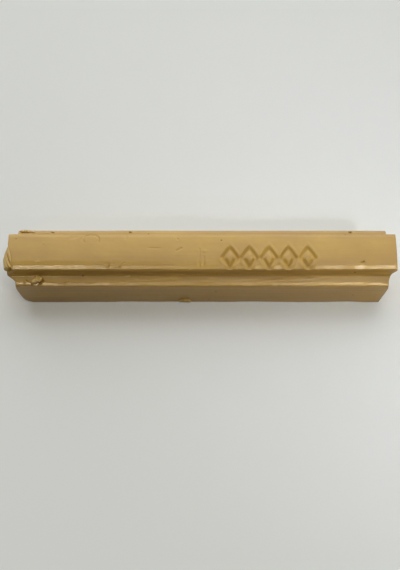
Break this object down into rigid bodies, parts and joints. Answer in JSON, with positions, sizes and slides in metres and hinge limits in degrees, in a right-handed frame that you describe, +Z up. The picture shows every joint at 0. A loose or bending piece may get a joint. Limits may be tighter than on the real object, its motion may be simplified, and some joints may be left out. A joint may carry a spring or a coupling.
{
  "type": "furniture repair wax stick",
  "caption": "Solid cast bar of ochre filler wax: a wide body with ledges along both sides under a longer crowned cap, rubbed or melted into scratches and dents in wood.",
  "frame": {"origin": "on the flat foot, under the middle of the cap's length and width", "axes": "+X along the bar towards its plain end, +Y to the back, +Z up through the crowned face"},
  "size_m": [0.0809, 0.0136, 0.0113],
  "materials": {
    "cast_wax": "cast wax with a soft satin sheen, as it left the mould",
    "torn_wax": "the same wax where it was torn or broken off, a little paler and duller"
  },
  "bodies": {
    "root": {"wax_bar": "cast_wax", "gate_stub": "torn_wax", "ledge_crumb": "torn_wax", "foot_flake": "torn_wax", "flash_tags": "torn_wax"}
  },
  "joints": []
}
